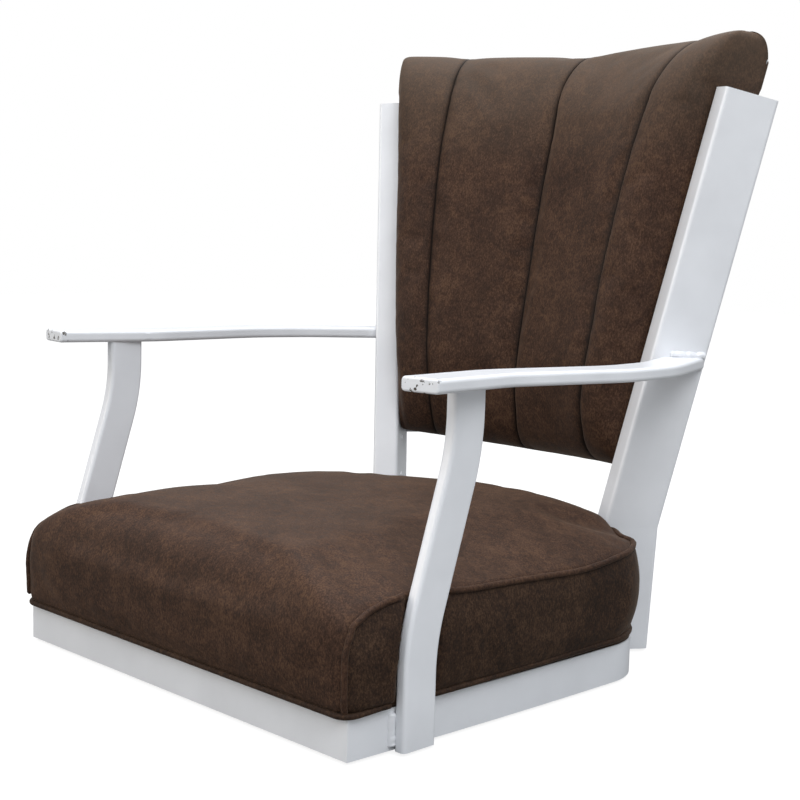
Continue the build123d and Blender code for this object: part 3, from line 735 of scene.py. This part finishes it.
# How far the front stands ahead of the uprights' arc, and the rear behind it
MIDDLE_PROUD, SEAM_PROUD, EDGE_PROUD = 34.0, 41.0, 20.0
REAR_DEPTH, TIP_DEPTH, TIP_THICK = 50.0, 19.0, 4.0
FOOT_ROLL, HEAD_ROLL, REAR_ROLL = 115.0, 74.0, 42.0
HEAD_CORNER, FOOT_CORNER = (10.0, 8.0), (6.0, 3.0)
# A channel's crown, and how deep and how wide the creases at its seams are
CHANNEL_CROWN, CREASES = 4.0, ((3.6, 1.3), (3.4, 7.0))
BROAD_RISE, NARROW_RISE = 2.6, 0.8
EDGE_ROUND = 9.0
# The seams aren't quite straight: height, and shift in radians, of each
SEAM_WANDER = (
    ((230, 0.0), (260, -0.004), (300, -0.011), (365, -0.013), (440, -0.008), (520, 0.0),
     (560, 0.008), (600, 0.020), (665, 0.030)),
    ((205, -0.026), (240, -0.013), (300, -0.018), (400, -0.012), (560, -0.008), (600, -0.014),
     (625, -0.018), (650, -0.012), (665, -0.008)),
    ((205, -0.02), (235, 0.016), (285, 0.024), (330, 0.022), (400, 0.009), (490, 0.007),
     (545, 0.009), (600, 0.014), (645, 0.022), (665, 0.02)))
# Points across an outer channel, an inner one, a side and the rear
NARROW, BROAD, SIDE, REAR = 20, 34, 12, 84
ACROSS = 2 * NARROW + 2 * BROAD


def side_angle(radius, gap):
    """Angle round the back's arc at which a gap to the upright's plane is left."""
    return UPRIGHT_TURN - math.asin(gap / radius)


def rolled(distance, reach):
    """Height of a quarter-round, as a share, at a distance from its tip."""
    return math.sqrt(max(1 - (1 - min(distance / reach, 1)) ** 2, 0))


def sag(height):
    """Drop per millimetre that a point lies behind the pad's edges."""
    return 0.18 - 0.072 * eased((height - PAD_FOOT) / 300)


def pad_ring(height):
    """One level of the pad from the sitter's right: four channels, side, rear, side."""
    centre_y, radius = back_arc(height)
    level = height + APRON_FOOT
    to_head, to_foot = PAD_TOP - height, height - PAD_FOOT
    roll = min(rolled(to_head, HEAD_ROLL), rolled(to_foot, FOOT_ROLL))
    back_roll = min(rolled(to_head, REAR_ROLL), rolled(to_foot, REAR_ROLL))
    round_off = max((1 - rolled(end, reach)) * deep for end, (reach, deep)
                    in ((to_head, HEAD_CORNER), (to_foot, FOOT_CORNER)))
    tip = radius + TIP_DEPTH
    near = lambda proud: tip + (radius - proud - tip) * roll
    flattened = 0.35 + 0.65 * roll
    rear = tip + TIP_THICK + (radius + REAR_DEPTH - tip - TIP_THICK) * back_roll
    above = eased((height - UPRIGHT_TOP - 2) / 8)
    spread = read_off(OVERLAP, height)
    edge = side_angle(near(EDGE_PROUD), round_off + SIDE_GAP - spread)
    seams = [a + read_off(wander, height)
             for a, wander in zip((-SEAM_ANGLE, 0, SEAM_ANGLE), SEAM_WANDER)]
    full = read_off(FULLNESS, height)
    stops = ((-edge, EDGE_PROUD), (seams[0], SEAM_PROUD + full), (seams[1], MIDDLE_PROUD + full),
             (seams[2], SEAM_PROUD + full), (edge, EDGE_PROUD))
    ring = []
    for k, ((a, first), (b, last)) in enumerate(zip(stops, stops[1:])):
        steps, channel_rise = (BROAD, BROAD_RISE) if k in (1, 2) else (NARROW, NARROW_RISE)
        width = abs(b - a) * radius
        for t in np.linspace(0, 1, steps, endpoint=False):
            t = 0.5 - 0.5 * math.cos(math.pi * t)
            start, end = t * width, (1 - t) * width
            seam = start if k == 3 else end if k == 0 else min(start, end)
            crown = 1 - (2 * t - 1) ** 2
            lift = CHANNEL_CROWN * crown
            lift += sum(deep * (1 - math.exp(-seam / wide)) for deep, wide in CREASES)
            outer = start if k == 0 else end if k == 3 else EDGE_ROUND
            lift -= EDGE_ROUND * (1 - rolled(outer, EDGE_ROUND))
            r = near(first + (last - first) * t) - lift * flattened
            angle = a + (b - a) * t
            rise = channel_rise * crown * eased(1 - to_head / 60)
            ring.append((r * math.sin(angle), centre_y + r * math.cos(angle), level + rise))
    front = near(EDGE_PROUD) - (sum(deep for deep, _ in CREASES) - EDGE_ROUND) * flattened
    side = []
    for t in np.linspace(0, 1, SIDE, endpoint=False):
        r = front + (rear - front) * t
        ahead = eased((radius - r) / 8) * spread
        over = above * ABOVE_UPRIGHTS * rolled(to_head, 40.0)
        angle = side_angle(r, round_off + SIDE_GAP - max(ahead, over))
        side.append((r * math.sin(angle), centre_y + r * math.cos(angle), level))
    rear_edge = side_angle(rear, round_off + SIDE_GAP - above * ABOVE_UPRIGHTS)
    behind = [(rear * math.sin(a), centre_y + rear * math.cos(a), level)
              for a in np.linspace(rear_edge, -rear_edge, REAR + 1)]
    ring += side + behind + [(-x, y, z) for x, y, z in side[:0:-1]]
    edge_y = centre_y + radius * math.cos(UPRIGHT_TURN)
    return [(x, y, z - sag(height) * (y - edge_y)) for x, y, z in ring]


def pad_shell():
    """The pad's closed form: four channels in front, smooth behind, rolled head and foot."""
    heights = [PAD_FOOT + FOOT_ROLL * (1 - math.cos(a)) for a in np.radians(np.linspace(0, 90, 17))]
    heights += list(np.linspace(PAD_FOOT + FOOT_ROLL, PAD_TOP - HEAD_ROLL, 64)[1:-1])
    heights += [PAD_TOP - HEAD_ROLL * (1 - math.cos(a)) for a in np.radians(np.linspace(90, 0, 29))]
    rings = [pad_ring(height) for height in heights]
    count = len(rings[0])
    faces = loop_faces(len(rings), count)
    for base in (0, (len(rings) - 1) * count):
        at = lambda i: base + i % count
        faces += [(at(i), at(i + 1), at(-i - 1), at(-i)) for i in range(1, ACROSS - 1)]
        faces += [(at(0), at(1), at(-1)), (at(ACROSS - 1), at(ACROSS), at(ACROSS + 1))]
    return np.array([p for ring in rings for p in ring]), faces, count


pad_points, pad_faces, PAD_COUNT = pad_shell()
pad = piece("back_pad_cover", pad_points, pad_faces, SUEDE)
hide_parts("back_pad")
SEAM_COLUMNS = (NARROW, NARROW + BROAD, NARROW + 2 * BROAD)


def pad_held(points):
    """The pad's cover is sewn down along its three seams, and tacked behind and at its sides."""
    column = np.arange(len(points)) % PAD_COUNT
    held = np.zeros(len(points))
    for seam in SEAM_COLUMNS:
        held = np.maximum(held, np.abs(column - seam) < 1.5)
    return np.maximum(held, column > ACROSS + 1)


def seam_depths(points, widths, soft=6.0):
    """How deep in a seam each point lies, as a share of painted shade: a dark line as wide as the seam, in
    a soft painted shade.
    """
    rows = points.reshape(-1, PAD_COUNT, 3)
    depth = np.zeros(len(points))
    for column, width in zip(SEAM_COLUMNS, widths):
        away = np.linalg.norm(rows - rows[:, column:column + 1, :], axis=2).ravel()
        shade = 0.65 * np.exp(-(away / width) ** 2) + 0.35 * np.exp(-(away / soft) ** 2)
        depth = np.maximum(depth, shade)
    return depth


# Painted shade for the seams, measured before the pad swells and stored as its seam attribute
seam_depth = seam_depths(points_of(pad), (2.4, 3.2, 6.0))
fill_out(pad, pad_held, pressure=2.0, cap=3.5, slack=0.005, settle=3)
stored = pad.data.attributes.new("seam", "FLOAT", "POINT")
stored.data.foreach_set("value", np.asarray(seam_depth, np.float32))
subdivide(pad)


# ---------------------------------------------------------------- rear panel

PANEL_BEHIND = 53.4                 # the panel's rear face, behind the uprights' arc
PANEL_HALF, PANEL_HEAD_HALF = 3.4, 3.5   # half its thickness, and what its head has more
PANEL_GAP, PANEL_SPREAD = 4.0, 5.0  # clear of the uprights, and wider above them
PANEL_SOFT = 3.4                    # the rounding of its foot and head


def panel_ring(height, shrink):
    """One level of the rear panel, shrunk towards the middle of its thickness."""
    centre_y, radius = back_arc(height)
    # thicker at the head, where its cloth closes over the back board's top
    half = PANEL_HALF + PANEL_HEAD_HALF * eased((height - 600) / 30)
    middle = radius + PANEL_BEHIND - half
    gap = PANEL_GAP - PANEL_SPREAD * eased((height - UPRIGHT_TOP) / 10)
    outer = side_angle(middle, gap + shrink)
    edge_y = centre_y + radius * math.cos(UPRIGHT_TURN)
    swell = max(half - shrink, 0.2)
    top = eased((height - 560) / 60)
    ring = []
    for sign, sweep in ((-1, 1), (1, -1)):
        for t in np.linspace(-1, 1, 60):
            angle = sweep * t * outer
            inward = (1 - abs(t)) * outer * middle
            r = middle + sign * swell * math.sqrt(max(1 - max(1 - inward / half, 0) ** 2, 0.0025))
            y = centre_y + r * math.cos(angle)
            corner = eased((abs(t) - 0.8) / 0.2)
            drop = sag(height) * (y - edge_y) * (1 - top * (1 - corner)) + 4.0 * top * corner
            ring.append((r * math.sin(angle), y, height + APRON_FOOT - drop))
    return ring


def panel_shell():
    """The rear panel: a bent board under cloth, with softly rounded edges."""
    foot, head = PAD_FOOT + 20, PAD_TOP - 22
    rings = []
    for angle in np.radians((0, 30, 60)):
        ring = panel_ring(foot, PANEL_SOFT * (1 - math.sin(angle)))
        rings.append([(x, y, z + PANEL_SOFT * (1 - math.cos(angle))) for x, y, z in ring])
    rings += [panel_ring(h, 0) for h in np.linspace(foot + PANEL_SOFT, head - PANEL_SOFT, 48)]
    for angle in np.radians((60, 30, 0)):
        height = head - PANEL_SOFT * (1 - math.cos(angle))
        rings.append(panel_ring(height, PANEL_SOFT * (1 - math.sin(angle))))
    count = len(rings[0])
    return [p for ring in rings for p in ring], loop_faces(len(rings), count) + end_faces(len(rings), count)


panel = piece("back_panel_cover", *panel_shell(), SUEDE)
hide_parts("back_rear_panel")


# ---------------------------------------------------------------- welts

WELT_RADIUS = 2.9
WELT_CLEAR = WELT_RADIUS + 0.4  # a welt's middle, from the posts and the uprights
WELT_SUNK = 0.6                 # share of its radius that the upper welt's middle stands out
LOWER_WELT_Z = 43.7


def lower_welt_line():
    """The lower welt's middle, all round on the apron's top."""
    outline = seat_outline(3.8, 5.6, 2.4, REAR_RADIUS + 15.0, 16.0)
    ring = np.array([(x, y, LOWER_WELT_Z + read_off(FOOT_LIFT, y)) for x, y in outline])
    return keep_clear(smooth_line(ring, 420, closed=True), WELT_CLEAR)


def hem_shell():
    """The cover's hem, wrapped round the seat board's edge under the lower welt."""
    levels = ((41.3, -1.9), (41.3, -0.9), (53.6, -0.9), (53.6, -1.9))
    rings = [[(x, y, z) for x, y in seat_outline(g, g, g, REAR_RADIUS + g, 2.0)] for z, g in levels]
    count = len(rings[0])
    last = 3 * count
    inside = [(last + i, last + (i + 1) % count, (i + 1) % count, i) for i in range(count)]
    return [p for ring in rings for p in ring], loop_faces(4, count) + inside


# The hem and the lower welt take the darker suede: painted shade under the cushion's overhang
piece("seat_cover_hem", *hem_shell(), SHADED_SUEDE)
lower_welt = tube("seat_lower_welt", lower_welt_line(), WELT_RADIUS, SHADED_SUEDE, closed=True, vary=0.03)
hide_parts("seat_welt")

left_welt, right_welt = (
    [p + normal * (WELT_RADIUS * WELT_SUNK) for p, normal in upper_welt_path(cushion, side)]
    for side in (1, -1))
upper_line = keep_clear(np.array(left_welt + right_welt[-2::-1]), WELT_CLEAR)
tube("seat_upper_welt", smooth_line(upper_line[::3], 620), WELT_RADIUS, SUEDE, vary=0.04)


# ---------------------------------------------------------------- welds and staples

def weld(name, path, radius, seed, lumps=0.2):
    """A painted-over weld bead: a lumpy, rippled run along a joint."""
    length = sum((Vector(b) - Vector(a)).length for a, b in zip(path, path[1:]))
    line = smooth_line(path, max(8, int(length / 1.2)))
    shift = Vector((seed, 0, 0))
    ripple = [p + 0.9 * noise.noise(Vector(p) * 0.21 + shift) * np.array((1, 1, 1)) for p in line]
    tube(name, ripple, radius, PAINT, slot="white_powder_coat", vary=lumps, seed=seed)


def on_upright(side, height, across, back):
    """A point on an upright, across its width and back from its front face."""
    p = upright_front(height) + OUT_WAY * across + DEPTH_WAY * back
    return (p.x * side, p.y, p.z)


# Upright beads where the posts meet the apron: x, y, the levels, radius, seed, lumps
POST_WELDS = {
    "post_front_weld_": (251.0, -174.4, (6, 16, 28, 37), 5.4, 3.1, 0.06),
    "post_rear_weld_": (253.4, -133.6, (5, 16, 28, 38), 2.8, 5.7, 0.2),
}
# Beads where the arms meet the uprights: heights and depths, radius, seed
ARM_WELDS = {
    "arm_weld_": (((323.8, 20), (323.6, 34), (323.0, 48), (322.2, 60)), 4.1, 1.3),
    "arm_under_weld_": (((309.6, 18), (309.2, 34), (308.6, 50), (308.0, 60)), 2.2, 7.9),
}
TAB_HEIGHTS = (187.0, 142.5)
for side, which in ((1, "left"), (-1, "right")):
    for name, (x, y, levels, radius, seed, lumps) in POST_WELDS.items():
        weld(name + which, [(x * side, y, z) for z in levels], radius, seed * side, lumps)
    for name, (places, radius, seed) in ARM_WELDS.items():
        line = [on_upright(side, height, 16.0, back) for height, back in places]
        weld(name + which, line, radius, seed * side)
    for number, height in enumerate(TAB_HEIGHTS):
        line = [on_upright(side, height + d, -15.8, 24.0) for d in (-2.5, 0, 2.5)]
        weld("tab_weld_%s_%d" % (which, number + 1), line, 1.9, 2.3 + number)

# An upholstery staple's crown, proud of the cloth, in the panel's edge and in the boxing
for name, place, way in (("panel_staple", (268.6, 341.5, 636.0), (0.2, 0.2, 1)),
                         ("boxing_staple", (260.6, -182.6, 73.1), (0, 0.5, 1))):
    middle, half = Vector(place), Vector(way).normalized() * 2.6
    tube(name, [middle - half, middle, middle + half], 0.7, ZINC, sides=6, slot="zinc_plate")


# ---------------------------------------------------------------- studio

bpy.ops.mesh.primitive_plane_add(size=12, location=(0, 0, 0))
floor = bpy.context.object
floor.name = "studio_floor"
floor.data.materials.append(pale_floor())

world = bpy.data.worlds.new("studio_world")
bpy.context.scene.world = world
world.use_nodes = True
tree = world.node_tree
tree.nodes.clear()
# the room is bright and cool overhead, dimmer and neutral towards the horizon
way = add(tree, "SeparateXYZ", {"Vector": add(tree, "TexCoord").outputs["Generated"]})
sky = add(tree, "ValToRGB", {"Fac": way.outputs["Z"]},
          stops=((0.0, "#A9A9A7"), (0.3, "#C4C6C8"), (0.7, "#E6ECF4"), (1.0, "#F4F8FF")))
room = add(tree, "Background", {"Color": sky.outputs["Color"], "Strength": 1.03})
white = add(tree, "Background", {"Color": linear("#FFFFFF"), "Strength": 1.0})
both = add(tree, "MixShader", {0: camera_sees(tree), 1: room.outputs[0], 2: white.outputs[0]})
add(tree, "OutputWorld", {"Surface": both.outputs[0]})


def softbox(name, place, target, size, power, colour="#FFFFFF"):
    """A square area lamp, in metres and watts, turned to its target."""
    lamp = bpy.data.lights.new(name, "AREA")
    lamp.color = linear(colour)[:3]
    lamp.shape = "SQUARE"
    lamp.size = size
    lamp.energy = power
    made = bpy.data.objects.new(name, lamp)
    made.location = place
    made.rotation_euler = (Vector(target) - Vector(place)).to_track_quat("-Z", "Y").to_euler()
    bpy.context.scene.collection.objects.link(made)


softbox("key_softbox", (1.9, -0.9, 2.4), (0, 0, 0.4), 1.8, 36)
softbox("overhead_softbox", (-0.3, 0.3, 3.2), (0, 0, 0.2), 2.4, 56)
softbox("fill_softbox", (-1.6, -3.0, 1.5), (0, 0, 0.3), 2.0, 36, "#FFF4E6")
softbox("rear_softbox", (-0.6, 2.6, 2.2), (0, 0, 0.4), 2.0, 16)

# The camera that was fitted to the photograph: its place in metres, and its turns
EYE = Vector((1.14374, -1.06372, 0.46349))
YAW, PITCH, ROLL = (math.radians(a) for a in (45.082, 6.935, 1.487))
LENS, SENSOR = 67.478, 36.0
forward = Vector((-math.sin(YAW) * math.cos(PITCH), math.cos(YAW) * math.cos(PITCH), -math.sin(PITCH)))
level = Vector((math.cos(YAW), math.sin(YAW), 0))
upward = level.cross(forward)
right = level * math.cos(ROLL) + upward * math.sin(ROLL)
head = upward * math.cos(ROLL) - level * math.sin(ROLL)
camera = bpy.data.objects.new("camera", bpy.data.cameras.new("camera"))
camera.data.sensor_width = SENSOR
camera.data.lens = LENS
camera.matrix_world = Matrix.Translation(EYE) @ Matrix((right, head, -forward)).transposed().to_4x4()
bpy.context.scene.collection.objects.link(camera)
bpy.context.scene.camera = camera
bpy.context.scene.view_settings.view_transform = "Standard"
